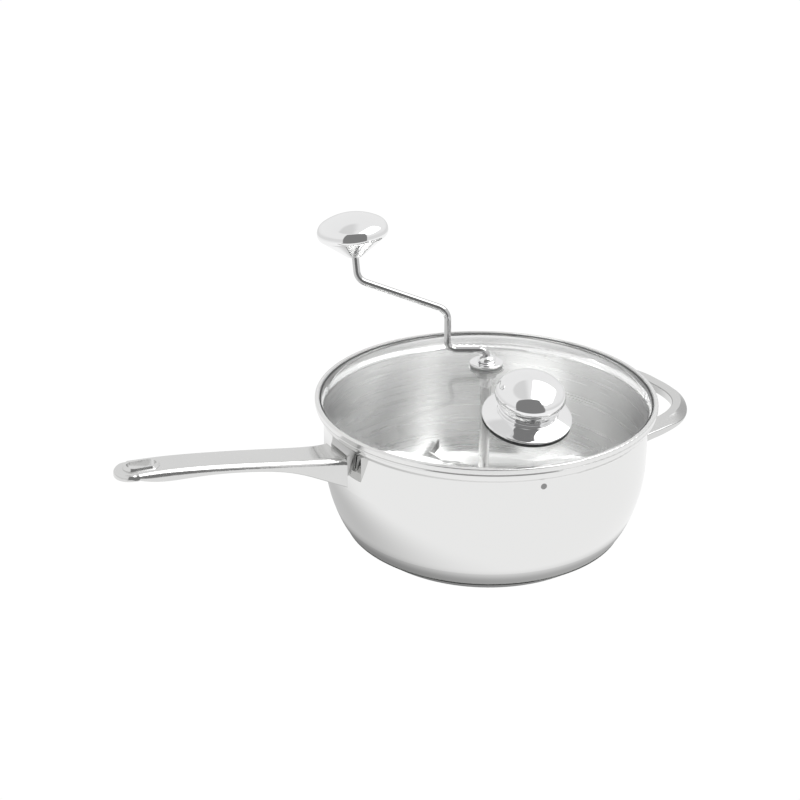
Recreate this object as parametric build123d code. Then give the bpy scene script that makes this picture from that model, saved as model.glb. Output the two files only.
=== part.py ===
"""Stovetop popcorn pan: steel pan, domed glass lid, hand crank and sheet-metal stirrer.

Millimetres, +Z up. The origin is the centre of the flat base on the surface it stands on.
The long handle points along -X and the helper handle along +X. The lid stands on the rim.
"""
import os
from math import asin, atan2, cos, degrees, radians, sin, sqrt, tan

from build123d import *

# ---- driving dimensions ---------------------------------------------------------------
SHEET = 0.8              # pan wall
WALL_R = 119.0           # outside radius of the straight upper wall
PAN_UNDERSIDE_Z = 5.5    # underside of the pan's own bottom, on top of the sandwich base
BELLY_ARCS = ((12.0, 55.2), (60.0, 12.35), (110.0, 22.45))   # radius, turn in degrees
STEP_Z = 95.8            # where the wall steps out into the lid seat
STEP_R = 3.1             # the two arcs of the step
STEP_TURN = 62.0
LIP_TOP_Z = 105.2
LIP_R = 124.3
LIP_H = 1.9

CAP_SHEET = 0.7          # encapsulated base
CAP_FLAT_R = 92.0
CAP_CORNER_R = 3.0
CAP_RIM_R = 104.3
CAP_RIM_Z = 9.5
CORE_R = 92.5
CORE_CHAMFER = 1.8

DOME_SHOULDER = 0.62     # side radius of a knob's dome, as a share of its height

REST_GAP = 0.3           # between pieces of different bodies that rest on each other
GLASS_T = 3.0
GLASS_R = 124.3
GLASS_FLAT_Z = LIP_TOP_Z + REST_GAP + 0.6    # underside of the glass's flat edge
GLASS_FLAT_IN_R = 120.0
GLASS_RISE = 22.9
GLASS_FOOT_R = 12.0      # arc between the flat edge and the dome
BAND_R = 125.0
BAND_T = 0.6
BAND_TOP_IN_R = 122.4
SKIRT_R = 121.0
SKIRT_Z = 101.0

BUSH_FLANGE_R = 12.2
BUSH_BARREL_R = 5.0
BUSH_LIP_W = 2.2         # raised rim round the flange's dished top
BUSH_DISH = 0.5
BUSH_BOSS_R = 6.6
NUT_FLATS = 15.0
NUT_H = 5.0
COLLAR_R = 6.5
COLLAR_SIDE_H = 1.9
COLLAR_H = 4.6
BUSH_END_Z = 114.0
ROD_R = 2.5
RUN_FIT = 0.06           # radial clearance of a running fit
SEAL_T = 1.0
WASHER_R = 12.8

CRANK_AZ = 150.0         # where the crank points at rest
CRANK_FOOT_Z = 95.0
CRANK_RUN_Z = 143.4
CRANK_POST_X = 28.5
CRANK_POST_TOP_Z = 173.8
CRANK_ARM_X = 92.6
CRANK_ARM_Z = 196.8
CRANK_BENDS = (5.2, 6.5, 10.0, 9.5)
SPINDLE_LEAN = 5.0
SPINDLE_LEN = 40.0

GRIP_R = 25.0            # crank knob
GRIP_THROAT_R = 6.0
GRIP_START = 18.0        # from the spindle's bend to the knob's small end
GRIP_CONE_H = 14.3
GRIP_WIDE_H = 18.0
GRIP_DOME_H = 12.6
SHELL_T = 0.8

SHAFT_R = 4.0            # stirrer shaft and stirrer
SHAFT_FOOT_Z = 10.0
HUB_R = 8.5
STIR_Z = 8.0
BLADE_T = 1.2
BLADE_H = 9.0
BLADE_AZ = 79.3
BLADE_KNEE = (72.0, 0.0)
BLADE_CORNER = (98.0, 6.8)
BLADE_TIP = (103.6, -3.6)
WING_RISE = 9.0
WING_TAPER = 1.5

KNOB_AZ = -101.7         # lid knob
KNOB_RHO = 75.3
KNOB_FLANGE_R = 31.0
KNOB_R = 24.0
KNOB_LIFT = 0.8          # underside of the flange edge above the glass at the knob's axis
KNOB_NECK_H = 5.2
KNOB_NECK_TOP = 13.2
KNOB_WIDE_H = 18.5
KNOB_DOME_H = 14.5
KNOB_SCREW_R = 2.5

HANDLE_STATIONS = (      # distance from the pan's axis, top height, width, thickness
    (124.0, 92.7, 34.0, 21.5),
    (136.0, 94.4, 30.0, 17.2),
    (150.0, 96.9, 28.6, 12.2),
    (170.0, 100.9, 28.0, 7.6),
    (190.0, 104.9, 27.4, 6.2),
    (215.0, 109.6, 26.8, 6.2),
    (240.0, 113.8, 26.4, 7.6),
    (256.0, 115.9, 26.0, 7.8),
    (270.6, 117.0, 25.6, 4.6),
)
NOSE_ANGLES = (0.0, 22.0, 42.0, 59.0, 72.0, 81.0, 87.0)
NOSE_FALL = 1.6
HANDLE_SHEET = 1.0
HANDLE_PLATE = 2.0       # end plate at the root
HANDLE_ROLL_R = 4.2      # rolled top edges
HANDLE_ROLL_SHARE = 0.66
HANDLE_ROLL_WIDE = 0.9
HANDLE_LOWER_R = 1.0
HANDLE_LOWER_SHARE = 0.2
TANG_GAP = 0.3
BRACKET_FLARE = (        # distance, top height, its half width, lower height, its half width, corner
    (121.6, 93.3, 12.2, 75.5, 7.6, 1.1),
    (120.0, 95.8, 13.8, 74.8, 7.2, 1.5),
    (118.5, 99.8, 17.0, 73.8, 6.8, 2.8),
    (117.1, 104.4, 22.5, 72.6, 6.6, 4.8),
    (115.4, 110.5, 30.0, 71.0, 6.6, 5.5),
)
BRACKET_TANG = (
    (119.0, 90.4, 10.4, 77.0, 7.5, 1.4),
    (146.0, 93.4, 10.0, 86.0, 8.0, 1.4),
)
HANDLE_HOLLOW_END = 240.0
HANG_HOLE = (255.0, 275.0, 9.4)     # from, to, width
HANG_FACE_Z = 116.5
HANG_FACE_SLOPE = 3.6
HANG_LIP_W = 2.4
HANG_LIP_H = 1.6
HANG_LIP_TAPER = 30
HANG_WALL_H = 2.8

HELPER_TOP_Z = 78.1      # helper handle, top face where it meets the wall
HELPER_RISE = 9.0
HELPER_START = 6.0                  # the loop's curve begins this far inside the wall
HELPER_OUT = (60.1, 45.6, 2.9)      # half width, reach from the wall, squareness
HELPER_IN = (44.8, 37.0, 3.2)
HELPER_TOP_W = (7.5, 6.5)           # flat of the top face, at the wall and at the bend
HELPER_DROP = (0.9, 4.7)            # how far the outer bevel falls, at the wall and at the bend
HELPER_DEPTH = 7.0
HELPER_STATIONS = (0.0, 15.0, 30.0, 45.0, 60.0, 74.0, 83.0, 90.0)
HELPER_EDGE_R = 0.9
BEVEL_PEAK = 0.239                  # largest value of the bevel's share along the loop


# ---- small tools ----------------------------------------------------------------------
def spin(*outline):
    """A full turn, about Z, of a closed outline drawn as (radius, height)."""
    return revolve(Plane.XZ * make_face(Curve() + list(outline)), Axis.Z)


def spin_points(*points):
    return spin(Polyline(*points, close=True))


def ring(r_in, r_out, z0, z1):
    return spin_points((r_in, z0), (r_out, z0), (r_out, z1), (r_in, z1))


def rod(radius, z0, z1):
    return Pos(0, 0, z0) * Cylinder(radius, z1 - z0, align=(Align.CENTER, Align.CENTER, Align.MIN))


def tangent_path(start, heading, steps):
    """Lines ('line', length) and tangent arcs (radius, turn) drawn one after another."""
    edges = []
    point, direction = Vector(*start), Vector(*heading)
    for kind, amount in steps:
        if kind == "line":
            edge = Line(point, point + direction * amount)
        else:
            edge = JernArc(start=point, tangent=direction, radius=kind, arc_size=amount)
        edges.append(edge)
        point, direction = edge @ 1, edge % 1
    return edges


def button_dome(low, radius, height, inset=0.0):
    """Outline of a flattened dome, from its widest point to the axis, in two tangent arcs."""
    side = height * DOME_SHOULDER
    reach = radius - side
    crown = (reach ** 2 + height ** 2 - side ** 2) / (2 * (height - side))
    turn = degrees(atan2(crown - height, reach))
    return tangent_path((radius - inset, low), (0, 1), [(side - inset, turn), (crown - inset, 90 - turn)])


def thin_wall(outer, inner):
    """The face between two paths that start and end side by side."""
    closing = [Line(outer[-1] @ 1, inner[-1] @ 1), Line(inner[0] @ 0, outer[0] @ 0)]
    return spin(*outer, *inner, *closing)


# ---- pan ------------------------------------------------------------------------------
def belly_flat_r():
    """Radius of the flat bottom, worked back from the straight wall."""
    reach, heading = 0.0, 0.0
    for radius, turn in BELLY_ARCS:
        reach += radius * (sin(radians(heading + turn)) - sin(radians(heading)))
        heading += turn
    return WALL_R - reach


def belly_rise():
    rise, heading = 0.0, 0.0
    for radius, turn in BELLY_ARCS:
        rise += radius * (cos(radians(heading)) - cos(radians(heading + turn)))
        heading += turn
    return rise


def pan_path(inset):
    """Bottom, belly, straight wall and lid seat; inset moves it inwards by the sheet."""
    straight = STEP_Z - PAN_UNDERSIDE_Z - belly_rise()
    steps = [("line", belly_flat_r())]
    steps += [(radius - inset, turn) for radius, turn in BELLY_ARCS]
    steps += [("line", straight), (STEP_R + inset, -STEP_TURN), (STEP_R - inset, STEP_TURN)]
    path = tangent_path((0, PAN_UNDERSIDE_Z + inset), (1, 0), steps)
    end = path[-1] @ 1
    return path + [Line(end, (end.X, LIP_TOP_Z - LIP_H))]


def pot_shell():
    wall = thin_wall(pan_path(0.0), pan_path(SHEET))
    seat_in_r = (pan_path(SHEET)[-1] @ 1).X
    lip = ring(seat_in_r, LIP_R, LIP_TOP_Z - LIP_H, LIP_TOP_Z)
    lip = fillet(lip.edges(), LIP_H * 0.42)
    return wall + lip


def base_cap():
    outer = FilletPolyline((0, 0), (CAP_FLAT_R, 0), (CAP_RIM_R, CAP_RIM_Z), radius=CAP_CORNER_R)
    across = CAP_SHEET / sin(atan2(CAP_RIM_Z, CAP_RIM_R - CAP_FLAT_R))
    inner = FilletPolyline((0, CAP_SHEET), (CAP_FLAT_R, CAP_SHEET), (CAP_RIM_R - across, CAP_RIM_Z),
                           radius=CAP_CORNER_R)
    dish = spin(*outer.edges(), *inner.edges(),
                Line((0, 0), (0, CAP_SHEET)), Line(outer @ 1, inner @ 1))
    return dish - pot_solid()


def pot_solid():
    """Everything inside the pan's outer skin, for trimming what wraps round it."""
    path = pan_path(0.0)
    top = path[-1] @ 1
    return spin(*path, Line(top, (0, top.Y)), Line((0, top.Y), (0, PAN_UNDERSIDE_Z)))


def base_core():
    core = rod(CORE_R, CAP_SHEET, PAN_UNDERSIDE_Z)
    return chamfer(core.edges().group_by(Axis.Z)[0], CORE_CHAMFER)


# ---- long handle ----------------------------------------------------------------------
def crowned_section(distance, top, width, depth, inset=0.0):
    """Section across the handle: broad rolls along its top edges, tight ones below."""
    half, tall = width / 2 - inset, depth - 2 * inset
    plane = Plane(origin=(-distance, 0, top - inset), x_dir=(0, -1, 0), z_dir=(-1, 0, 0))
    face = make_face(Polyline((-half, 0), (half, 0), (half, -tall), (-half, -tall), close=True))
    upper = face.vertices().group_by(Axis.Y)[-1]
    roll = min(HANDLE_ROLL_R - inset, HANDLE_ROLL_SHARE * tall, HANDLE_ROLL_WIDE * half)
    face = fillet(upper, roll)
    lower = face.vertices().group_by(Axis.Y)[0]
    return plane * fillet(lower, min(HANDLE_LOWER_R, HANDLE_LOWER_SHARE * tall))


def handle_body():
    return loft([crowned_section(*station) for station in HANDLE_STATIONS])


def handle_hollow():
    """Space inside the handle, closed at the root by an end plate round the bracket's tang."""
    stations = [station for station in HANDLE_STATIONS if station[0] <= HANDLE_HOLLOW_END]
    room = loft([crowned_section(*station, inset=HANDLE_SHEET) for station in stations])
    root = stations[0]
    plate = Pos(-root[0], 0, root[1]) * Box(2 * HANDLE_PLATE, 2 * root[2], 4 * root[3])
    return room - plate + bracket_tang(TANG_GAP)


def handle_nose():
    """Half-round end: sections that narrow along a semicircle and thin towards the nose."""
    last, top, width, depth = HANDLE_STATIONS[-1]
    radius = width / 2
    sections = []
    for angle in NOSE_ANGLES:
        share = cos(radians(angle))
        thin = depth * (0.45 + 0.55 * share ** 0.5)
        wide = 2 * radius * share
        crown = top - NOSE_FALL * (1 - share)
        sections.append(crowned_section(last + radius * sin(radians(angle)), crown, wide, thin))
    return loft(sections)


def hang_frame():
    return Pos(-sum(HANG_HOLE[:2]) / 2, 0, HANG_FACE_Z) * Rot(0, HANG_FACE_SLOPE, 0)


def hang_slot(extra=0.0):
    first, last, width = HANG_HOLE
    return SlotOverall(last - first + 2 * extra, width + 2 * extra)


def hang_rim():
    """Raised lip round the hang slot, standing on a wall that runs down through the handle."""
    outline = hang_slot(HANG_LIP_W)
    lip = extrude(outline, HANG_LIP_H, taper=HANG_LIP_TAPER)
    return hang_frame() * (lip + extrude(outline, -HANG_WALL_H))


def long_handle():
    body = handle_body() - handle_hollow() + handle_nose() + hang_rim()
    return body - hang_frame() * extrude(hang_slot(), 20, both=True)


def keystone(distance, top, top_half, low, low_half, corner):
    """Section across the handle, wider at the top than at the bottom."""
    plane = Plane(origin=(-distance, 0, 0), x_dir=(0, -1, 0), z_dir=(-1, 0, 0))
    outline = Polyline((-low_half, low), (low_half, low), (top_half, top), (-top_half, top), close=True)
    face = make_face(outline)
    return plane * fillet(face.vertices(), corner)


def bracket_tang(extra=0.0):
    """The part of the bracket that runs inside the handle, or the clearance round it."""
    sections = []
    for distance, top, top_half, low, low_half, corner in BRACKET_TANG:
        section = (top + extra, top_half + extra, low - extra, low_half + extra, corner + extra)
        sections.append(keystone(distance, *section))
    return loft(sections, ruled=True)


def handle_bracket():
    """Cast lug: flares out to the wall it is welded to, with a tang inside the hollow handle."""
    flare = loft([keystone(d, *section) for d, *section in BRACKET_FLARE])
    flare &= rod(2 * WALL_R, 0, LIP_TOP_Z - LIP_H - REST_GAP)
    return flare + bracket_tang() - pot_solid()


# ---- helper handle --------------------------------------------------------------------
def loop_point(size, angle):
    """Point on a squared-off half loop; angle 0 is its outermost point."""
    half_width, reach, squareness = size
    across, along = sin(radians(angle)), cos(radians(angle))
    y = half_width * abs(across) ** (2 / squareness) * (1 if across > 0 else -1)
    x = (reach + HELPER_START) * max(along, 0.0) ** (2 / squareness)
    return Vector(WALL_R - HELPER_START + x, y)


def helper_section(angle, back=0.0):
    """Section across the loop: flat top, outer bevel that falls most at the bends, skirt."""
    inner, outer = loop_point(HELPER_IN, angle), loop_point(HELPER_OUT, angle)
    inner, outer = inner - Vector(back, 0), outer - Vector(back, 0)
    width = (outer - inner).length
    share = abs(sin(radians(angle))) ** 3 * max(cos(radians(angle)), 0.0) ** 1.5 / BEVEL_PEAK
    top_w = HELPER_TOP_W[0] + (HELPER_TOP_W[1] - HELPER_TOP_W[0]) * share
    drop = HELPER_DROP[0] + (HELPER_DROP[1] - HELPER_DROP[0]) * share
    rise = tan(radians(HELPER_RISE))
    z_in = HELPER_TOP_Z + rise * (inner.X - WALL_R)
    z_out = HELPER_TOP_Z + rise * (outer.X - WALL_R)
    across = (outer - inner).normalized()
    plane = Plane(origin=(inner.X, inner.Y, 0), x_dir=across, z_dir=across.cross(Vector(0, 0, 1)))
    outline = Polyline((0, z_in), (top_w, z_in + (z_out - z_in) * top_w / width), (width, z_out - drop),
                       (width - 0.6, z_out - HELPER_DEPTH), (0.6, z_in - HELPER_DEPTH), close=True)
    face = make_face(outline)
    return plane * fillet(face.vertices(), HELPER_EDGE_R)


def helper_handle():
    """Loop lofted through its sections, with straight ends that run up to the wall."""
    angles = sorted({sign * angle for angle in HELPER_STATIONS for sign in (-1, 1)})
    loop = loft([helper_section(angle) for angle in angles])
    for end in (-90.0, 90.0):
        loop += loft([helper_section(end), helper_section(end, back=15.0)])
    return loop - pot_solid()


# ---- lid ------------------------------------------------------------------------------
def dome_angle():
    return 2 * degrees(atan2(GLASS_RISE, GLASS_FLAT_IN_R))


def dome_radius():
    """Radius of the dome's outer sphere."""
    return GLASS_FLAT_IN_R / sin(radians(dome_angle())) - GLASS_FOOT_R


CROWN_Z = GLASS_FLAT_Z + GLASS_T + GLASS_RISE
DOME_CENTRE_Z = CROWN_Z - dome_radius()


def glass_path(depth):
    """From the flat edge to the crown; depth is measured down through the glass."""
    start = (GLASS_R, GLASS_FLAT_Z + GLASS_T - depth)
    steps = [("line", GLASS_R - GLASS_FLAT_IN_R),
             (GLASS_FOOT_R + depth, -dome_angle()),
             (dome_radius() - depth, dome_angle())]
    return tangent_path(start, (-1, 0), steps)


def lid_glass():
    glass = thin_wall(glass_path(0.0), glass_path(GLASS_T))
    glass -= rod(BUSH_BARREL_R + 0.4, 100, 150)
    return glass - on_dome() * rod(KNOB_SCREW_R + 1.0, -20, 20)


def lid_band():
    top = GLASS_FLAT_Z + GLASS_T + BAND_T
    low = GLASS_FLAT_Z - BAND_T
    outside = FilletPolyline((BAND_TOP_IN_R, top), (BAND_R, top), (BAND_R, low), (SKIRT_R, low), radius=0.8)
    rest = Polyline((SKIRT_R, low), (SKIRT_R, SKIRT_Z), (SKIRT_R - BAND_T, SKIRT_Z),
                    (SKIRT_R - BAND_T, GLASS_FLAT_Z), (GLASS_R, GLASS_FLAT_Z),
                    (GLASS_R, top - BAND_T), (BAND_TOP_IN_R, top - BAND_T), (BAND_TOP_IN_R, top))
    return spin(*outside.edges(), *rest.edges())


def dome_ball(depth=0.0):
    return Pos(0, 0, DOME_CENTRE_Z) * Sphere(dome_radius() - depth)


def seal_on_glass(r_in, r_out, top):
    """Ring that fills the space between the dome and a flat face above it."""
    return ring(r_in, r_out, top - 3.0, top) - dome_ball()


def seal_under_glass(r_in, r_out, low):
    return ring(r_in, r_out, low, low + 3.0) & dome_ball(GLASS_T)


BUSH_FACE_Z = CROWN_Z + SEAL_T              # underside of the bush flange
BUSH_TOP_Z = BUSH_FACE_Z + 1.4
UNDER_SEAL_Z = CROWN_Z - GLASS_T - SEAL_T   # underside of the lower seal


def lid_bush():
    """Flanged bearing for the rod, dished on top between its rim and its boss."""
    lip_in_r = BUSH_FLANGE_R - BUSH_LIP_W
    flange = FilletPolyline((BUSH_BARREL_R, BUSH_FACE_Z), (BUSH_FLANGE_R, BUSH_FACE_Z),
                            (BUSH_FLANGE_R, BUSH_TOP_Z), (lip_in_r, BUSH_TOP_Z), radius=0.65)
    bore = ROD_R + RUN_FIT
    dish_z = BUSH_TOP_Z - BUSH_DISH
    rest = Polyline((lip_in_r, BUSH_TOP_Z), (lip_in_r - 1.2, dish_z),
                    (BUSH_BOSS_R + 0.6, dish_z), (BUSH_BOSS_R, BUSH_TOP_Z), (bore, BUSH_TOP_Z),
                    (bore, BUSH_END_Z), (BUSH_BARREL_R - 0.8, BUSH_END_Z),
                    (BUSH_BARREL_R, BUSH_END_Z + 0.8), (BUSH_BARREL_R, BUSH_FACE_Z))
    return spin(*flange.edges(), *rest.edges())


def bush_nut():
    top = UNDER_SEAL_Z - SEAL_T
    low = top - NUT_H
    hexagon = RegularPolygon(NUT_FLATS / 2, 6, major_radius=False)
    corner_r = NUT_FLATS * 0.6
    envelope = spin_points((0, low), (NUT_FLATS / 2, low), (corner_r, low + 1.0), (corner_r, top), (0, top))
    body = Pos(0, 0, low) * extrude(hexagon, NUT_H)
    return (body & envelope) - rod(BUSH_BARREL_R, low - 1, top + 1)


# ---- lid knob -------------------------------------------------------------------------
def on_dome():
    """Frame of the lid knob: origin on the glass, Z along its normal."""
    tilt = degrees(asin(KNOB_RHO / dome_radius()))
    x, y = KNOB_RHO * cos(radians(KNOB_AZ)), KNOB_RHO * sin(radians(KNOB_AZ))
    z = DOME_CENTRE_Z + dome_radius() * cos(radians(tilt))
    return Pos(x, y, z) * Rot(0, 0, KNOB_AZ) * Rot(0, tilt, 0)


def local_ball(depth=0.0):
    return Pos(0, 0, -dome_radius()) * Sphere(dome_radius() - depth)


def knob_flange():
    """Trumpet-shaped foot, pressed from sheet, with a rolled edge and a flat web."""
    low, neck = KNOB_LIFT, KNOB_LIFT + KNOB_NECK_H
    t = SHELL_T
    edge_r = KNOB_FLANGE_R
    outside = [Line((edge_r - 1.2, low), (edge_r - 0.8, low)),
               ThreePointArc((edge_r - 0.8, low), (edge_r, low + 0.8), (edge_r - 0.8, low + 1.6)),
               ThreePointArc((edge_r - 0.8, low + 1.6), (25.6, low + 3.1), (21.2, neck)),
               Line((21.2, neck), (3.2, neck))]
    inside = [Line((3.2, neck), (3.2, neck - t)), Line((3.2, neck - t), (20.7, neck - t)),
              ThreePointArc((20.7, neck - t), (25.4, low + 2.2), (edge_r - 1.2, low + 0.9)),
              Line((edge_r - 1.2, low + 0.9), (edge_r - 1.2, low))]
    return spin(*outside, *inside)


def knob_neck():
    """Spacer ring with two turned grooves."""
    low, top = KNOB_LIFT + KNOB_NECK_H, KNOB_LIFT + KNOB_NECK_TOP
    outline = [(13.0, low), (20.9, low), (21.1, low + 0.9), (20.7, low + 1.7), (19.9, low + 1.9),
               (19.9, low + 2.3), (20.5, low + 2.6), (20.6, low + 3.5), (20.2, low + 4.2),
               (19.4, low + 4.4), (19.4, low + 4.9), (19.9, low + 5.3), (19.9, top), (13.0, top)]
    return spin_points(*outline)


def knob_head():
    """Hollow mushroom head with a web across its underside."""
    low = KNOB_LIFT + KNOB_NECK_TOP
    wide = KNOB_LIFT + KNOB_WIDE_H
    t = SHELL_T
    skin = [ThreePointArc((KNOB_R, wide), (KNOB_R - 0.9, wide - 3.2), (20.6, low)),
            Line((20.6, low), (3.2, low)), Line((3.2, low), (3.2, low + t)),
            Line((3.2, low + t), (19.9, low + t)),
            ThreePointArc((19.9, low + t), (KNOB_R - t - 1.0, wide - 2.6), (KNOB_R - t, wide)),
            Line((0, wide + KNOB_DOME_H - t), (0, wide + KNOB_DOME_H))]
    dome = button_dome(wide, KNOB_R, KNOB_DOME_H) + button_dome(wide, KNOB_R, KNOB_DOME_H, t)
    return spin(*skin, *dome)


def knob_core():
    """Threaded boss on the head's web."""
    low = KNOB_LIFT + KNOB_NECK_TOP + SHELL_T
    return rod(7.0, low, low + 9.0) - rod(KNOB_SCREW_R, low - 1, low + 7.5)


def knob_seal():
    return ring(25.0, KNOB_FLANGE_R - 0.3, -4.0, KNOB_LIFT) - local_ball()


def knob_inner_seal():
    return (ring(KNOB_SCREW_R, 9.0, -GLASS_T - SEAL_T, 0) & local_ball(GLASS_T)) + \
        ring(KNOB_SCREW_R, KNOB_SCREW_R + 1.0, -GLASS_T - 0.3, -0.2)


def knob_washer():
    low = -GLASS_T - 2 * SEAL_T
    return ring(KNOB_SCREW_R, 10.0, low, low + SEAL_T)


def knob_screw():
    top = KNOB_LIFT + KNOB_NECK_TOP + SHELL_T + 7.0
    head = -GLASS_T - 2 * SEAL_T
    crown = ThreePointArc((4.6, head), (3.6, head - 2.1), (0, head - 3.0))
    pan_head = spin(Line((0, head), (4.6, head)), crown, Line((0, head - 3.0), (0, head)))
    slots = Box(5.6, 1.0, 2.4) + Box(1.0, 5.6, 2.4)
    return pan_head + rod(KNOB_SCREW_R, head, top) - Pos(0, 0, head - 2.8) * slots


# ---- crank ----------------------------------------------------------------------------
def crank_points():
    """Corners of the rod in the crank's own plane, as (distance from the axis, height)."""
    lean = radians(SPINDLE_LEAN)
    end = (CRANK_ARM_X + SPINDLE_LEN * sin(lean), CRANK_ARM_Z + SPINDLE_LEN * cos(lean))
    return [(0, CRANK_FOOT_Z), (0, CRANK_RUN_Z), (CRANK_POST_X, CRANK_RUN_Z),
            (CRANK_POST_X, CRANK_POST_TOP_Z), (CRANK_ARM_X, CRANK_ARM_Z), end]


def crank_turned(shape):
    return Rot(0, 0, CRANK_AZ) * shape


def on_spindle():
    """Frame of the crank knob before the crank is turned: Z runs up the spindle."""
    return Pos(CRANK_ARM_X, 0, CRANK_ARM_Z) * Rot(0, SPINDLE_LEAN, 0)


SPINDLE_SHOULDER = GRIP_START + 2.0
SPINDLE_END_R = 2.0
CLIP_H = GRIP_START + 19.6


def crank_rod():
    points = [(x, 0, z) for x, z in crank_points()]
    path = FilletPolyline(*points, radius=list(CRANK_BENDS))
    bar = sweep(Plane.XY.offset(CRANK_FOOT_Z) * Circle(ROD_R), path)
    spindle_trim = on_spindle() * ring(SPINDLE_END_R, ROD_R + 1, SPINDLE_SHOULDER, SPINDLE_LEN + 1)
    pin_hole = Pos(0, 0, PIN_Z) * Rot(90, 0, 0) * Cylinder(PIN_R, 20)
    return crank_turned(bar - spindle_trim - pin_hole)


def crank_collar():
    """Domed collar on the rod that rides just above the bush."""
    low = BUSH_TOP_Z + REST_GAP
    shoulder, top = low + COLLAR_SIDE_H, low + COLLAR_H
    side = ((COLLAR_R - 0.3, low), (COLLAR_R, low + 0.4), (COLLAR_R, shoulder))
    foot = Polyline((ROD_R, top), (ROD_R, low), *side)
    crown = ThreePointArc((COLLAR_R, shoulder), (COLLAR_R - 1.0, top - 0.9), (ROD_R + 0.5, top))
    return spin(*foot.edges(), crown, Line((ROD_R + 0.5, top), (ROD_R, top))) - crank_rod()


PIN_R = 1.0
PIN_Z = 104.0


def stirrer_shaft():
    top = BUSH_END_Z - REST_GAP
    bar = rod(SHAFT_R, SHAFT_FOOT_Z, top) - rod(ROD_R, CRANK_FOOT_Z, top + 1)
    pin_hole = Pos(0, 0, PIN_Z) * Rot(90, 0, 0) * Cylinder(PIN_R, 20)
    return crank_turned(bar - pin_hole)


def shaft_pin():
    pin = Pos(0, 0, PIN_Z) * Rot(90, 0, 0) * Cylinder(PIN_R, 2 * SHAFT_R - 0.4)
    return crank_turned(pin)


# ---- stirrer --------------------------------------------------------------------------
RIVET_R = 1.2
RIVET_AT = 6.5
SLOT_IN = 4.6


def both_arms(shape):
    return [Rot(0, 0, BLADE_AZ + turn) * shape for turn in (0, 180)]


def rivet_bar(length):
    return Pos(RIVET_AT, 0, STIR_Z + BLADE_H / 2) * Rot(90, 0, 0) * Cylinder(RIVET_R, length)


def stirrer_hub():
    hub = rod(HUB_R, STIR_Z, STIR_Z + 11.5) - rod(SHAFT_R, SHAFT_FOOT_Z, 40)
    hub = fillet(hub.edges().group_by(Axis.Z)[-1].filter_by(lambda e: e.radius > SHAFT_R + 1), 1.5)
    reach = HUB_R - SLOT_IN + 2
    slot = Pos(SLOT_IN + reach / 2, 0, STIR_Z + BLADE_H / 2) * Box(reach, BLADE_T, BLADE_H)
    for cut in both_arms(slot) + both_arms(rivet_bar(20)):
        hub -= cut
    return hub


def blade():
    """One arm: an upright strip, kneed, then folded up into a wing that follows the belly."""
    inner = (SLOT_IN + BLADE_T / 2, 0)
    strip = Polyline(inner, BLADE_KNEE, BLADE_CORNER)
    plan = offset(strip, BLADE_T / 2, kind=Kind.INTERSECTION, side=Side.BOTH)
    arm = Pos(0, 0, STIR_Z) * extrude(make_face(plan.edges()), BLADE_H)
    dx, dy = BLADE_TIP[0] - BLADE_CORNER[0], BLADE_TIP[1] - BLADE_CORNER[1]
    length = sqrt(dx * dx + dy * dy)
    across = Vector(dx, dy).normalized()
    origin = (*BLADE_CORNER, STIR_Z)
    side = Plane(origin=origin, x_dir=(across.X, across.Y, 0), z_dir=(across.Y, -across.X, 0))
    tip_top = WING_RISE + BLADE_H - WING_TAPER
    wing_face = Polyline((0, 0), (length, WING_RISE), (length, tip_top), (0, BLADE_H), close=True)
    wing = extrude(side * make_face(wing_face), BLADE_T / 2, both=True)
    return arm + wing - rivet_bar(20)


def stirrer_blades():
    return Compound(both_arms(blade()))


def stirrer_rivets():
    return Compound(both_arms(rivet_bar(10.4)))


# ---- crank knob -----------------------------------------------------------------------
def grip(shape):
    return crank_turned(on_spindle() * Pos(0, 0, GRIP_START) * shape)


def crank_knob_cone():
    t = SHELL_T
    rim = GRIP_R - 1.1
    hole_r = ROD_R + 1.2
    outline = [(GRIP_THROAT_R, 0), (rim, GRIP_CONE_H), (rim - 0.2, GRIP_CONE_H + t),
               (rim - 1.0, GRIP_CONE_H + t), (GRIP_THROAT_R + 0.2, t + 0.3), (hole_r, t + 0.3), (hole_r, 0)]
    return grip(spin_points(*outline))


def crank_knob_dome():
    t = SHELL_T
    low, wide = GRIP_CONE_H, GRIP_WIDE_H
    rim = GRIP_R - 1.1
    outline = [ThreePointArc((rim, low), (GRIP_R - 0.2, (low + wide) / 2 - 0.2), (GRIP_R, wide)),
               Line((0, wide + GRIP_DOME_H), (0, wide + GRIP_DOME_H - t)),
               Line((GRIP_R - t, wide), (rim - 0.2, low + t)), Line((rim - 0.2, low + t), (rim, low))]
    dome = button_dome(wide, GRIP_R, GRIP_DOME_H) + button_dome(wide, GRIP_R, GRIP_DOME_H, t)
    return grip(spin(*outline, *dome))


def crank_knob_bush():
    """Plastic sleeve that turns on the spindle's end, with a flange that fills the cone."""
    bore = SPINDLE_END_R + RUN_FIT
    low = SPINDLE_SHOULDER - GRIP_START + 0.2
    top = CLIP_H - GRIP_START - 0.3
    outline = [(bore, low), (6.6, low), (10.4, low + 3.0), (10.4, low + 5.0), (5.4, low + 6.0),
               (5.4, top), (bore, top)]
    wall_r, wall_z = GRIP_R - 2.1, GRIP_CONE_H + SHELL_T
    cone_space = spin_points((0, 0), (GRIP_THROAT_R + 0.2, SHELL_T + 0.3), (wall_r, wall_z),
                             (wall_r, top), (0, top))
    return grip(spin_points(*outline) & cone_space)


def crank_knob_clip():
    """Push-on clip that keeps the knob on the spindle."""
    return crank_turned(on_spindle() * ring(SPINDLE_END_R, 5.0, CLIP_H, CLIP_H + 0.8))


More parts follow.
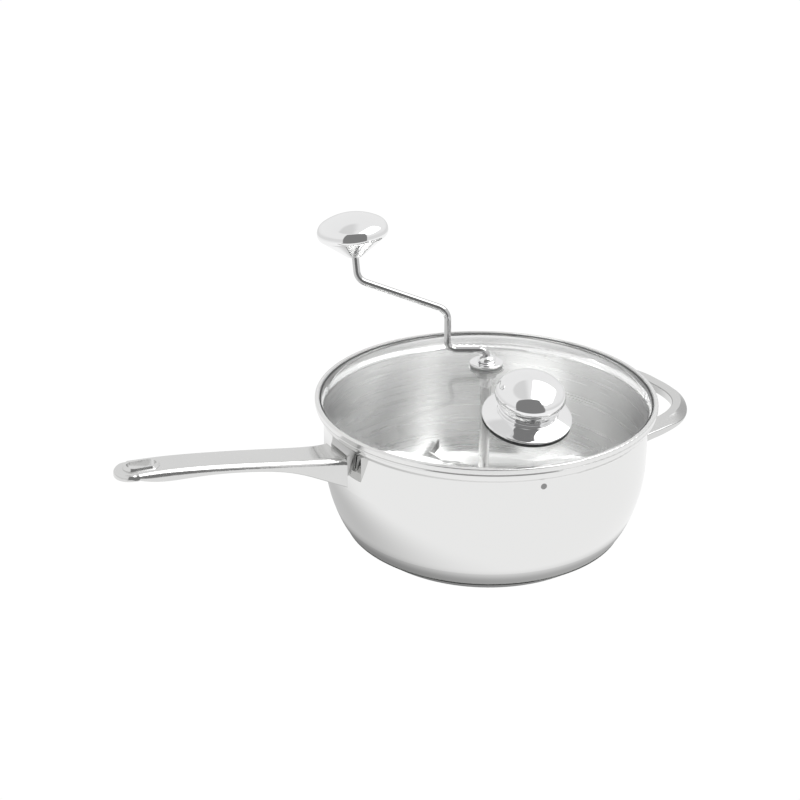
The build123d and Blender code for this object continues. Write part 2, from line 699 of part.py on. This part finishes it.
# ---- export ---------------------------------------------------------------------------
def parts():
    knob = on_dome()
    return {
        "pot_shell": pot_shell(),
        "base_cap": base_cap(),
        "base_core": base_core(),
        "long_handle": long_handle(),
        "handle_bracket": handle_bracket(),
        "helper_handle": helper_handle(),
        "lid_glass": lid_glass(),
        "lid_band": lid_band(),
        "lid_bush": lid_bush(),
        "bush_seal_top": seal_on_glass(BUSH_BARREL_R, BUSH_FLANGE_R - 1.2, BUSH_FACE_Z),
        "bush_seal_under": seal_under_glass(BUSH_BARREL_R, WASHER_R - 1.0, UNDER_SEAL_Z),
        "bush_washer": ring(BUSH_BARREL_R, WASHER_R, UNDER_SEAL_Z - SEAL_T, UNDER_SEAL_Z),
        "bush_nut": bush_nut(),
        "knob_flange": knob * knob_flange(),
        "knob_neck": knob * knob_neck(),
        "knob_head": knob * knob_head(),
        "knob_core": knob * knob_core(),
        "knob_seal": knob * knob_seal(),
        "knob_inner_seal": knob * knob_inner_seal(),
        "knob_washer": knob * knob_washer(),
        "knob_screw": knob * knob_screw(),
        "crank_rod": crank_rod(),
        "crank_collar": crank_collar(),
        "stirrer_shaft": stirrer_shaft(),
        "shaft_pin": shaft_pin(),
        "stirrer_hub": stirrer_hub(),
        "stirrer_blades": stirrer_blades(),
        "stirrer_rivets": stirrer_rivets(),
        "crank_knob_cone": crank_knob_cone(),
        "crank_knob_dome": crank_knob_dome(),
        "crank_knob_bush": crank_knob_bush(),
        "crank_knob_clip": crank_knob_clip(),
    }


os.makedirs("parts", exist_ok=True)
for name, shape in parts().items():
    export_step(shape, f"parts/{name}.step")
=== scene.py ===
"""Looks for the stovetop popcorn pan: steel, chrome and glass under a soft white studio."""
import math

import bpy
from mathutils import Matrix, Vector


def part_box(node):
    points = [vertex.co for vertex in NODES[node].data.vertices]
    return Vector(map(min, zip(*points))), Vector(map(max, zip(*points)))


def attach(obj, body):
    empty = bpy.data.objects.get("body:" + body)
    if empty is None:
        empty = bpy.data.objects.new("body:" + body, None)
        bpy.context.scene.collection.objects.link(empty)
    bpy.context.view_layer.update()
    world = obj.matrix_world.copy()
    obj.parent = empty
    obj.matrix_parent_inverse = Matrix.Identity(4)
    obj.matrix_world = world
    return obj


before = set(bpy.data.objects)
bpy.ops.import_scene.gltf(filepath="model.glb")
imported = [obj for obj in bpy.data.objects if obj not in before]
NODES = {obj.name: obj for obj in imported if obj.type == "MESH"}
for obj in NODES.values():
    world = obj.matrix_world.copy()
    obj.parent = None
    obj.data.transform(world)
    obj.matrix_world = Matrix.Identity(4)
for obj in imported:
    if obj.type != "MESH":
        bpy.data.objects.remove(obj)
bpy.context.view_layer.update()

# The view: degrees round the object and above it, metres, and millimetres of lens.
VIEW_AZIMUTH = 330.0
VIEW_ELEVATION = 24.09
VIEW_DISTANCE = 1.037
VIEW_TARGET = Vector((-0.0543, 0.03135, 0.1037))
VIEW_REACH = 60.0
LENS = 63.59
SENSOR = 36.0

# The object, in metres.
GLASS_IOR = 1.45
GROUND_EDGE = 0.0022        # width of the lid glass's ground edge
GROUND_BLEND = 0.0008
BRUSHED_TOP = 0.0955        # the brushing inside the pan stops below the lid's seat
BRUSHED_BLEND = 0.001
MARK_WALL_R = 0.119         # the pan's wall where the printed mark sits
MARK_AZIMUTH = -104.0
MARK_HEIGHT = 0.092
MARK_RADIUS = 0.00215
MARK_LIFT = 0.00006
MARK_EDGE_LIFT = 0.00001
MARK_RINGS = 5
MARK_SIDES = 32

# The floor and the table that mirrors see in its place.
FLOOR_HALF = 14.0
FLOOR_LEVEL = 1.02
TABLE_LEVEL = 0.97
SHADE_CENTRE = (-0.046, 0.061)
SHADE_LEVEL = 0.60
SHADE_INNER = 0.09
SHADE_OUTER = 0.18
CONTACT_LEVEL = 0.45
CONTACT_INNER = 0.105
CONTACT_OUTER = 0.122
FAR_LEVEL = 0.78
FAR_INNER = 0.60
FAR_OUTER = 1.10
TABLE_EDGE = 0.38
TABLE_EDGE_END = 0.44

# The dome. Each pair is where a change begins and ends along one part of the direction.
DOME_RADIUS = 30.0
DOME_RINGS = 24
DOME_SIDES = 48
IN_GLASS_GAIN = 1.35
SKY = 0.88
SKY_TOP_DROP = 0.17
SKY_LOW_DROP = 0.20
SKY_SIDE = (-0.12, 0.10)
SKY_HIGH = (0.84, 0.90)
SKY_LOW = (-0.12, 0.30)
SKY_NEAR = (-0.5, 0.7)
SKY_FAR_SHARE = 0.35

# The dark card in front and the bright ones; angles go round from the camera and up.
ROOM_LEVEL = 0.22
ROOM_AHEAD = 0.50
ROOM_ASIDE = 0.03
ROOM_WIDE = 0.84
ROOM_TALL = 1.05
ROOM_SUNK = 0.08
ROOM_FEATHER = 0.03
LAMP_LEVEL = 3.0
LAMP_AROUND = 84.0
LAMP_UP = 57.0
LAMP_AWAY = 1.0
LAMP_RAISED = 0.12
LAMP_WIDE = 1.20
LAMP_TALL = 0.92
LAMP_FEATHER = 0.12
INNER_RAISED = 0.05
INNER_FEATHER_SHARE = 0.4
INNER_LAMPS = (             # name, degrees round, elevation, width, height, level
    ("strip_right", 37.0, 46.0, 0.42, 1.00, 5.0),
    ("strip_left", -95.0, 34.0, 0.50, 0.70, 4.0),
)


# ---- camera -----------------------------------------------------------------
def towards(azimuth, elevation):
    """Unit vector from the object to an eye at that azimuth and elevation."""
    a, e = math.radians(azimuth), math.radians(elevation)
    return Vector((math.sin(a) * math.cos(e), -math.cos(a) * math.cos(e), math.sin(e)))


def make_camera():
    data = bpy.data.cameras.new("camera")
    data.lens = LENS
    data.sensor_width = SENSOR
    data.clip_end = VIEW_REACH
    cam = bpy.data.objects.new("camera", data)
    bpy.context.scene.collection.objects.link(cam)
    cam.location = VIEW_TARGET + towards(VIEW_AZIMUTH, VIEW_ELEVATION) * VIEW_DISTANCE
    cam.rotation_euler = (VIEW_TARGET - cam.location).to_track_quat("-Z", "Y").to_euler()
    bpy.context.scene.camera = cam


# ---- node helpers -----------------------------------------------------------
class Tree:
    """A material's node tree, built by short calls."""

    def __init__(self, name):
        self.material = bpy.data.materials.new(name)
        self.material.use_nodes = True
        self.nt = self.material.node_tree
        self.nt.nodes.clear()
        self.out = self.nt.nodes.new("ShaderNodeOutputMaterial")

    def add(self, kind, inputs=None, **props):
        node = self.nt.nodes.new("ShaderNode" + kind)
        for key, value in props.items():
            setattr(node, key, value)
        for key, value in (inputs or {}).items():
            self.feed(node.inputs[key], value)
        return node

    def feed(self, socket, value):
        if isinstance(value, bpy.types.NodeSocket):
            self.nt.links.new(value, socket)
        else:
            socket.default_value = value

    def calc(self, operation, a, b=0.0):
        node = self.add("Math", {0: a, 1: b}, operation=operation)
        return node.outputs[0]

    def ramp(self, value, low, high, to_low, to_high, smooth=True):
        kind = "SMOOTHSTEP" if smooth else "LINEAR"
        node = self.add("MapRange", {0: value, 1: low, 2: high, 3: to_low, 4: to_high},
                        interpolation_type=kind)
        return node.outputs[0]

    def mix(self, factor, a, b):
        node = self.add("Mix", data_type="FLOAT")
        self.feed(node.inputs[0], factor)
        self.feed(node.inputs[2], a)
        self.feed(node.inputs[3], b)
        return node.outputs[0]

    def blend(self, factor, a, b):
        node = self.add("Mix", data_type="RGBA")
        self.feed(node.inputs[0], factor)
        self.feed(node.inputs[6], a)
        self.feed(node.inputs[7], b)
        return node.outputs[2]

    def noise(self, vector, scale, detail=3.0, roughness=0.55):
        node = self.add("TexNoise", {"Vector": vector, "Scale": scale, "Detail": detail,
                                     "Roughness": roughness})
        return node.outputs["Fac"]

    def bump(self, height, strength, distance):
        node = self.add("Bump", {"Strength": strength, "Distance": distance, "Height": height})
        return node.outputs[0]

    def place(self):
        return self.add("TexCoord").outputs["Object"]

    def facing_out(self):
        return self.add("TexCoord").outputs["Normal"]

    def split(self, vector):
        node = self.add("SeparateXYZ", {0: vector})
        return node.outputs[0], node.outputs[1], node.outputs[2]

    def join(self, x, y, z):
        return self.add("CombineXYZ", {0: x, 1: y, 2: z}).outputs[0]

    def radius(self, x, y):
        squares = self.calc("ADD", self.calc("MULTIPLY", x, x), self.calc("MULTIPLY", y, y))
        return self.calc("SQRT", squares)

    def turned(self, vector, round_scale, along_scale):
        """Coordinates that run round the Z axis, for lathe and brush lines."""
        x, y, z = self.split(vector)
        angle = self.calc("ARCTAN2", y, x)
        r = self.radius(x, y)
        return self.join(self.calc("MULTIPLY", angle, round_scale),
                         self.calc("MULTIPLY", z, along_scale),
                         self.calc("MULTIPLY", r, along_scale))

    def principled(self, **sockets):
        names = {key.replace("_", " "): value for key, value in sockets.items()}
        return self.add("BsdfPrincipled", names)

    def done(self, shader):
        self.nt.links.new(shader.outputs[0], self.out.inputs[0])
        return self.material


# ---- materials --------------------------------------------------------------
def pan_steel():
    """Polished outside, circular brushing inside."""
    t = Tree("pan_steel")
    place = t.place()
    x, y, z = t.split(place)
    nx, ny, nz = t.split(t.facing_out())
    r = t.radius(x, y)
    radial = t.calc("DIVIDE", t.calc("ADD", t.calc("MULTIPLY", nx, x), t.calc("MULTIPLY", ny, y)),
                    t.calc("MAXIMUM", r, 0.001))
    outward = t.calc("SUBTRACT", radial, nz)
    inside = t.ramp(outward, -0.05, 0.05, 1.0, 0.0)
    below_seat = t.ramp(z, BRUSHED_TOP, BRUSHED_TOP + BRUSHED_BLEND, 1.0, 0.0)
    inside = t.calc("MULTIPLY", inside, below_seat)
    fine = t.noise(t.turned(place, 2.6, 1300.0), 1.0, 3.0, 0.6)
    wide = t.noise(t.turned(place, 0.7, 420.0), 1.0, 3.0, 0.6)
    patch = t.noise(place, 9.0, 2.0, 0.5)
    brushed = t.ramp(wide, 0.3, 0.7, 0.24, 0.33, smooth=False)
    polished = t.ramp(patch, 0.3, 0.7, 0.055, 0.085, smooth=False)
    rough = t.mix(inside, polished, brushed)
    height = t.calc("MULTIPLY", fine, inside)
    brushed_tint = t.blend(wide, (0.915, 0.915, 0.91, 1), (0.97, 0.97, 0.965, 1))
    tint = t.blend(inside, (0.83, 0.83, 0.825, 1), brushed_tint)
    tangent = t.add("Tangent", direction_type="RADIAL", axis="Z").outputs[0]
    shader = t.principled(Base_Color=tint, Metallic=1.0, Roughness=rough, Tangent=tangent,
                          Anisotropic_Rotation=0.25, Anisotropic=t.calc("MULTIPLY", inside, 0.6),
                          Normal=t.bump(height, 0.042, 0.0001))
    return t.done(shader)


def turned_steel(name, tint, low, high, bump=0.08, lines=900.0):
    """Lathe-finished steel: fine rings round the pan's axis."""
    t = Tree(name)
    place = t.place()
    fine = t.noise(t.turned(place, 1.6, lines), 1.0, 4.0, 0.65)
    wear = t.noise(place, 60.0, 3.0, 0.6)
    rough = t.ramp(t.mix(0.4, fine, wear), 0.3, 0.7, low, high, smooth=False)
    dark = tuple(c * 0.92 for c in tint[:3]) + (1,)
    shader = t.principled(Base_Color=t.blend(wear, dark, tint), Metallic=1.0, Roughness=rough,
                          Normal=t.bump(fine, bump, 0.0001))
    return t.done(shader)


def satin_steel(name, tint, low, high, bevel_shade=1.0):
    """Sheet or rod steel with a faint long grain, and painted shade that darkens the sloping bevels by the
    given factor.
    """
    t = Tree(name)
    place = t.place()
    x, y, z = t.split(place)
    grain = t.noise(t.join(t.calc("MULTIPLY", x, 25.0), t.calc("MULTIPLY", y, 900.0),
                           t.calc("MULTIPLY", z, 900.0)), 1.0, 3.0, 0.6)
    cloud = t.noise(place, 30.0, 3.0, 0.5)
    rough = t.ramp(t.mix(0.5, grain, cloud), 0.35, 0.65, low, high, smooth=False)
    dark = tuple(c * 0.93 for c in tint[:3]) + (1,)
    # painted shade: the tint on the sloping bevels, darkened by the factor
    bevel_shaded_tint = tuple(c * bevel_shade for c in tint[:3]) + (1,)
    nx, ny, nz = t.split(t.facing_out())
    slope = t.calc("MULTIPLY", t.ramp(nz, 0.20, 0.45, 0.0, 1.0), t.ramp(nz, 0.85, 0.97, 1.0, 0.0))
    colour = t.blend(slope, t.blend(cloud, dark, tint), bevel_shaded_tint)
    shader = t.principled(Base_Color=colour, Metallic=1.0, Roughness=rough,
                          Normal=t.bump(grain, 0.03, 0.0001))
    return t.done(shader)


def chrome():
    t = Tree("chrome")
    place = t.place()
    haze = t.noise(place, 45.0, 4.0, 0.6)
    rub = t.noise(place, 900.0, 2.0, 0.5)
    rough = t.ramp(t.mix(0.3, haze, rub), 0.35, 0.65, 0.018, 0.05, smooth=False)
    shader = t.principled(Base_Color=t.blend(haze, (0.88, 0.88, 0.885, 1), (0.93, 0.93, 0.93, 1)),
                          Metallic=1.0, Roughness=rough)
    return t.done(shader)


def stirrer_sheet():
    """Sheet steel with the rolling grain along its length and a few scuffs."""
    t = Tree("stirrer_sheet")
    place = t.place()
    x, y, z = t.split(place)
    grain = t.noise(t.join(t.calc("MULTIPLY", x, 700.0), t.calc("MULTIPLY", y, 40.0),
                           t.calc("MULTIPLY", z, 700.0)), 1.0, 3.0, 0.6)
    scuff = t.noise(place, 130.0, 4.0, 0.7)
    rough = t.ramp(t.mix(0.4, grain, scuff), 0.3, 0.7, 0.16, 0.32, smooth=False)
    shader = t.principled(Base_Color=t.blend(scuff, (0.66, 0.66, 0.655, 1), (0.78, 0.78, 0.775, 1)),
                          Metallic=1.0, Roughness=rough, Normal=t.bump(grain, 0.06, 0.0001))
    return t.done(shader)


def clear_glass():
    """Tempered glass that casts almost no shadow, with a pale ground edge."""
    t = Tree("clear_glass")
    place = t.place()
    ripple = t.noise(place, 14.0, 2.0, 0.5)
    smear = t.noise(place, 38.0, 4.0, 0.65)
    rough = t.ramp(smear, 0.45, 0.8, 0.0, 0.015, smooth=False)
    glass = t.principled(Base_Color=(0.995, 0.998, 0.997, 1), Metallic=0.0, Roughness=rough,
                         IOR=GLASS_IOR, Transmission_Weight=1.0,
                         Normal=t.bump(ripple, 0.02, 0.0004))
    clear = t.add("BsdfTransparent", {"Color": (0.97, 0.98, 0.975, 1)})
    path = t.add("LightPath").outputs["Is Shadow Ray"]
    mixer = t.add("MixShader", {0: path, 1: glass.outputs[0], 2: clear.outputs[0]})
    x, y, z = t.split(place)
    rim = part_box("lid_glass")[1][0]
    grain = t.noise(place, 1500.0, 2.0, 0.5)
    pale = t.blend(grain, (0.78, 0.79, 0.785, 1), (0.86, 0.87, 0.865, 1))
    ground = t.principled(Base_Color=pale, Roughness=0.55)
    start = rim - GROUND_EDGE
    edge = t.ramp(t.radius(x, y), start - GROUND_BLEND, start, 0.0, 0.9)
    return t.done(t.add("MixShader", {0: edge, 1: mixer.outputs[0], 2: ground.outputs[0]}))


def rubber(name, tint):
    t = Tree(name)
    place = t.place()
    grain = t.noise(place, 1800.0, 2.0, 0.5)
    cloud = t.noise(place, 80.0, 3.0, 0.5)
    light = tuple(min(1.0, c * 1.6) for c in tint[:3]) + (1,)
    shader = t.principled(Base_Color=t.blend(cloud, tint, light),
                          Roughness=t.ramp(grain, 0.3, 0.7, 0.45, 0.7), Normal=t.bump(grain, 0.1, 0.00005))
    return t.done(shader)


def aluminium_core():
    t = Tree("aluminium_core")
    place = t.place()
    speck = t.noise(place, 400.0, 3.0, 0.6)
    shader = t.principled(Base_Color=t.blend(speck, (0.70, 0.71, 0.72, 1), (0.80, 0.81, 0.82, 1)),
                          Metallic=1.0, Roughness=t.ramp(speck, 0.3, 0.7, 0.35, 0.5))
    return t.done(shader)


def printed_grey():
    t = Tree("printed_grey")
    place = t.place()
    speck = t.noise(place, 2600.0, 3.0, 0.6)
    shader = t.principled(Base_Color=t.blend(speck, (0.22, 0.22, 0.22, 1), (0.34, 0.34, 0.34, 1)),
                          Roughness=t.ramp(speck, 0.3, 0.7, 0.4, 0.6))
    return t.done(shader)


FINISH = {
    "pan_steel": ["pot_shell"],
    "cap_steel": ["base_cap"],
    "core": ["base_core"],
    "handle": ["long_handle"],
    "helper": ["helper_handle"],
    "bracket": ["handle_bracket"],
    "rod": ["crank_rod"],
    "glass": ["lid_glass"],
    "band": ["lid_band"],
    "chrome": ["knob_head", "knob_neck", "knob_flange", "crank_collar", "crank_knob_dome",
               "crank_knob_cone", "lid_bush"],
    "hardware": ["bush_nut", "bush_washer", "knob_core", "knob_screw", "knob_washer", "shaft_pin",
                 "crank_knob_clip", "stirrer_rivets"],
    "stirrer": ["stirrer_shaft", "stirrer_hub", "stirrer_blades"],
    "seal": ["knob_seal", "knob_inner_seal"],
    "clear_seal": ["bush_seal_top", "bush_seal_under"],
    "bush": ["crank_knob_bush"],
}


def paint_nodes():
    made = {
        "pan_steel": pan_steel(),
        # base cap: tinted dark grey; the tint stands partly for painted shade from the floor beside it
        "cap_steel": turned_steel("cap_steel", (0.38, 0.385, 0.38, 1), 0.16, 0.26),
        "core": aluminium_core(),
        "handle": satin_steel("handle_steel", (0.74, 0.74, 0.735, 1), 0.10, 0.17),
        # helper handle: sloping bevels darkened to 0.6 by painted shade
        "helper": satin_steel("helper_steel", (0.72, 0.72, 0.715, 1), 0.10, 0.17, bevel_shade=0.6),
        "bracket": satin_steel("bracket_steel", (0.62, 0.62, 0.615, 1), 0.26, 0.36),
        "rod": satin_steel("rod_steel", (0.58, 0.58, 0.58, 1), 0.06, 0.11),
        "glass": clear_glass(),
        "band": turned_steel("band_steel", (0.86, 0.86, 0.855, 1), 0.16, 0.24, bump=0.02),
        "chrome": chrome(),
        "hardware": turned_steel("hardware_steel", (0.74, 0.74, 0.735, 1), 0.14, 0.26, lines=1400.0),
        "stirrer": stirrer_sheet(),
        "seal": rubber("dark_rubber", (0.035, 0.037, 0.037, 1)),
        "clear_seal": rubber("pale_silicone", (0.52, 0.525, 0.52, 1)),
        "bush": rubber("dark_plastic", (0.05, 0.05, 0.05, 1)),
    }
    for key, names in FINISH.items():
        for name in names:
            slots = NODES[name].data.materials
            slots.clear()
            slots.append(made[key])


# ---- pieces that aren't in the frame -----------------------------------------
def quads(rings, sides):
    """Faces of a grid of rings that closes on itself round each ring."""
    faces = []
    for ring in range(rings):
        for side in range(sides):
            a, b = ring * sides + side, ring * sides + (side + 1) % sides
            faces.append((a, b, b + sides, a + sides))
    return faces


def wall_mark():
    """Small round printed mark, curved to the pan's wall."""
    points = []
    for ring in range(MARK_RINGS + 1):
        for side in range(MARK_SIDES):
            a = 2 * math.pi * side / MARK_SIDES
            out = MARK_RADIUS * ring / MARK_RINGS
            lift = MARK_LIFT if ring < MARK_RINGS else MARK_EDGE_LIFT
            turn = math.radians(MARK_AZIMUTH) + out * math.cos(a) / MARK_WALL_R
            r = MARK_WALL_R + lift
            points.append((r * math.cos(turn), r * math.sin(turn), MARK_HEIGHT + out * math.sin(a)))
    mesh = bpy.data.meshes.new("wall_mark")
    mesh.from_pydata(points, [], quads(MARK_RINGS, MARK_SIDES))
    mesh.validate()
    mark = bpy.data.objects.new("wall_mark", mesh)
    bpy.context.scene.collection.objects.link(mark)
    mark.data.materials.append(printed_grey())
    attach(mark, "pan")


# ---- studio -----------------------------------------------------------------
def stage_mesh(name, points, faces, material, seen_by):
    """A piece of the studio, seen only by the kinds of ray that are listed."""
    mesh = bpy.data.meshes.new(name)
    mesh.from_pydata([tuple(p) for p in points], [], faces)
    obj = bpy.data.objects.new(name, mesh)
    bpy.context.scene.collection.objects.link(obj)
    mesh.materials.append(material)
    for kind in ("camera", "diffuse", "glossy", "transmission", "volume_scatter", "shadow"):
        setattr(obj, "visible_" + kind, kind in seen_by)
    return obj


def glow(name, level):
    """Light-giving surface whose level is a number or a function of its tree."""
    t = Tree(name)
    strength = level(t) if callable(level) else level
    t.material.cycles.emission_sampling = "NONE"
    return t.done(t.add("Emission", {"Color": (1, 1, 1, 1), "Strength": strength}))


def square(size):
    points = [(-size, -size, 0), (size, -size, 0), (size, size, 0), (-size, size, 0)]
    return points, [(0, 1, 2, 3)]


def sky_level(t):
    """Brightness of the studio in the direction of each point of its dome."""
    x, y, z = t.split(t.add("VectorMath", {0: t.place()}, operation="NORMALIZE").outputs[0])
    left = t.ramp(x, *SKY_SIDE, 1.0, 0.0)
    high = t.ramp(z, *SKY_HIGH, 0.0, 1.0)
    top_drop = t.calc("MULTIPLY", t.calc("MULTIPLY", high, left), SKY_TOP_DROP)
    low_sky = t.ramp(z, *SKY_LOW, 1.0, 0.0)
    near = t.ramp(y, *SKY_NEAR, 1.0, SKY_FAR_SHARE)
    low_drop = t.calc("MULTIPLY", t.calc("MULTIPLY", low_sky, near), SKY_LOW_DROP)
    return t.calc("SUBTRACT", t.calc("SUBTRACT", SKY, top_drop), low_drop)


def table_level(t):
    """The white table as mirrors see it: soft shade round the pan, dark beyond its near edge."""
    x, y, z = t.split(t.place())
    dx = t.calc("SUBTRACT", x, SHADE_CENTRE[0])
    dy = t.calc("SUBTRACT", y, SHADE_CENTRE[1])
    cast = t.ramp(t.radius(dx, dy), SHADE_INNER, SHADE_OUTER, SHADE_LEVEL, 1.0)
    r = t.radius(x, y)
    contact = t.ramp(r, CONTACT_INNER, CONTACT_OUTER, CONTACT_LEVEL, 1.0)
    far = t.ramp(r, FAR_INNER, FAR_OUTER, 1.0, FAR_LEVEL)
    front = towards(VIEW_AZIMUTH, 0.0)
    ahead = t.calc("ADD", t.calc("MULTIPLY", x, front.x), t.calc("MULTIPLY", y, front.y))
    aside = t.calc("SUBTRACT", t.calc("MULTIPLY", x, front.y), t.calc("MULTIPLY", y, front.x))
    wide = t.ramp(t.calc("ABSOLUTE", aside), TABLE_EDGE, TABLE_EDGE_END, 1.0, 0.0)
    edge = t.calc("MULTIPLY", t.ramp(ahead, TABLE_EDGE, TABLE_EDGE_END, 0.0, 1.0), wide)
    level = t.calc("MULTIPLY", t.calc("MULTIPLY", cast, contact), far)
    return t.mix(edge, t.calc("MULTIPLY", level, TABLE_LEVEL), ROOM_LEVEL)


def faded(name, level, half_wide, half_tall, feather):
    """Light that fades out towards the edges of a card centred on its own origin."""
    t = Tree(name)
    x, y, z = t.split(t.place())
    across = t.ramp(t.calc("ABSOLUTE", x), half_wide - feather, half_wide, 1.0, 0.0)
    upward = t.ramp(t.calc("ABSOLUTE", y), half_tall - feather, half_tall, 1.0, 0.0)
    t.material.cycles.emission_sampling = "NONE"
    lamp = t.add("Emission", {"Color": (1, 1, 1, 1), "Strength": level})
    through = t.add("BsdfTransparent")
    fade = t.calc("MULTIPLY", across, upward)
    return t.done(t.add("MixShader", {0: fade, 1: through.outputs[0], 2: lamp.outputs[0]}))


def card(name, centre, normal, width, height, level, feather, seen_by=("glossy", "transmission")):
    """Card of light whose edges fade out, seen only by the kinds of ray that are listed."""
    across = Vector((0, 0, 1)).cross(normal).normalized()
    up = normal.cross(across)
    w, h = width / 2, height / 2
    corners = [(-w, -h, 0), (w, -h, 0), (w, h, 0), (-w, h, 0)]
    material = faded(name + "_light", level, w, h, feather)
    obj = stage_mesh(name, corners, [(0, 1, 2, 3)], material, seen_by)
    turn = Matrix((across, up, normal)).transposed().to_4x4()
    obj.matrix_world = Matrix.Translation(centre) @ turn


def dome(name, seen_by, gain):
    """The studio's far surroundings, turned so that its own -Y faces the camera."""
    points = []
    for ring in range(DOME_RINGS + 1):
        tilt = math.pi * ring / DOME_RINGS - math.pi / 2
        r, z = DOME_RADIUS * math.cos(tilt), DOME_RADIUS * math.sin(tilt)
        for side in range(DOME_SIDES):
            a = 2 * math.pi * side / DOME_SIDES
            points.append((r * math.cos(a), r * math.sin(a), z))

    def level(t):
        return t.calc("MULTIPLY", sky_level(t), gain)

    faces = quads(DOME_RINGS, DOME_SIDES)
    obj = stage_mesh(name, points, faces, glow(name + "_light", level), seen_by)
    obj.rotation_euler = (0, 0, math.radians(VIEW_AZIMUTH))


def make_studio():
    world = bpy.data.worlds.new("studio")
    bpy.context.scene.world = world
    world.use_nodes = True
    back = world.node_tree.nodes["Background"]
    back.inputs[0].default_value = (1, 1, 1, 1)
    back.inputs[1].default_value = 1.0
    world.cycles_visibility.glossy = False
    world.cycles_visibility.transmission = False
    points, faces = square(FLOOR_HALF)
    stage_mesh("floor", points, faces, glow("floor_white", FLOOR_LEVEL), ("camera",))
    stage_mesh("floor_light", points, faces, glow("floor_light", table_level),
               ("diffuse", "glossy", "transmission"))
    dome("dome", ("glossy",), 1.0)
    dome("dome_in_glass", ("transmission",), IN_GLASS_GAIN)
    ahead, aside = towards(VIEW_AZIMUTH, 0.0), towards(VIEW_AZIMUTH + 90.0, 0.0)
    room = ahead * ROOM_AHEAD + aside * ROOM_ASIDE + Vector((0, 0, ROOM_TALL / 2 - ROOM_SUNK))
    card("room", room, ahead, ROOM_WIDE, ROOM_TALL, ROOM_LEVEL, ROOM_FEATHER)
    lamp = towards(VIEW_AZIMUTH + LAMP_AROUND, LAMP_UP)
    place = lamp * LAMP_AWAY + Vector((0, 0, LAMP_RAISED))
    card("lamp", place, lamp, LAMP_WIDE, LAMP_TALL, LAMP_LEVEL, LAMP_FEATHER)
    for name, around, up, wide, tall, level in INNER_LAMPS:
        way = towards(VIEW_AZIMUTH + around, up)
        card(name, way + Vector((0, 0, INNER_RAISED)), way, wide, tall, level,
             wide * INNER_FEATHER_SHARE, ("transmission",))
    scene = bpy.context.scene
    scene.view_settings.view_transform = "Standard"
    scene.view_settings.look = "None"


make_camera()
paint_nodes()
wall_mark()
make_studio()
